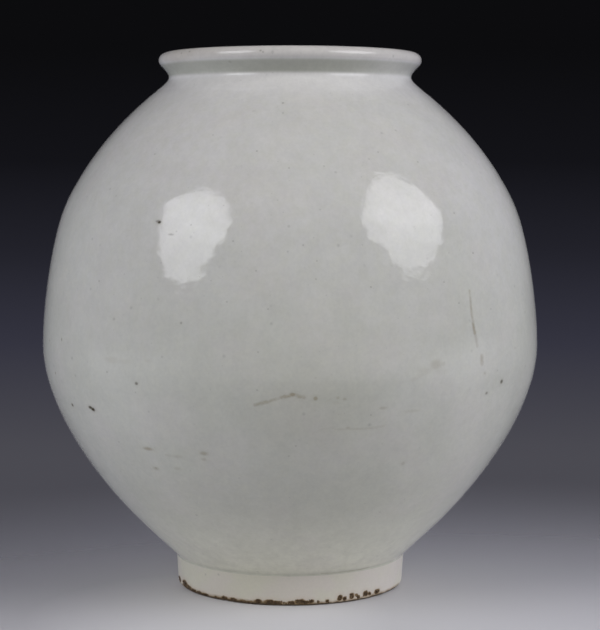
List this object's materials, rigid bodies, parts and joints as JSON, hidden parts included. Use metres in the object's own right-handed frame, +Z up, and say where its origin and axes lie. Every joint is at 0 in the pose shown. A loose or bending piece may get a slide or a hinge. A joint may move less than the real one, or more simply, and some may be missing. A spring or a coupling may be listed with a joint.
{
  "type": "round porcelain jar",
  "caption": "Round white-glazed porcelain jar with a rolled lip, a full belly joined from thrown bowls, and a low foot ring, for display or storage.",
  "frame": {"origin": "on the jar's axis, at the plane that the foot ring stands on", "axes": "+Z up along the jar's axis; the jar is turned, so X and Y are alike"},
  "size_m": [0.3164, 0.3164, 0.34],
  "materials": {
    "glaze": "glossy white glaze with a faint grey-green cast, fine pinholes and iron specks",
    "foot_glaze": "thin satin glaze over cream porcelain, bare on the standing face",
    "slip": "porcelain slip under the glaze"
  },
  "bodies": {
    "root": {"foot_ring": "foot_glaze", "foot_slip": "slip", "lower_bowl": "glaze", "belly_slip": "slip", "upper_bowl": "glaze", "neck_slip": "slip", "mouth_rim": "glaze"}
  },
  "joints": []
}
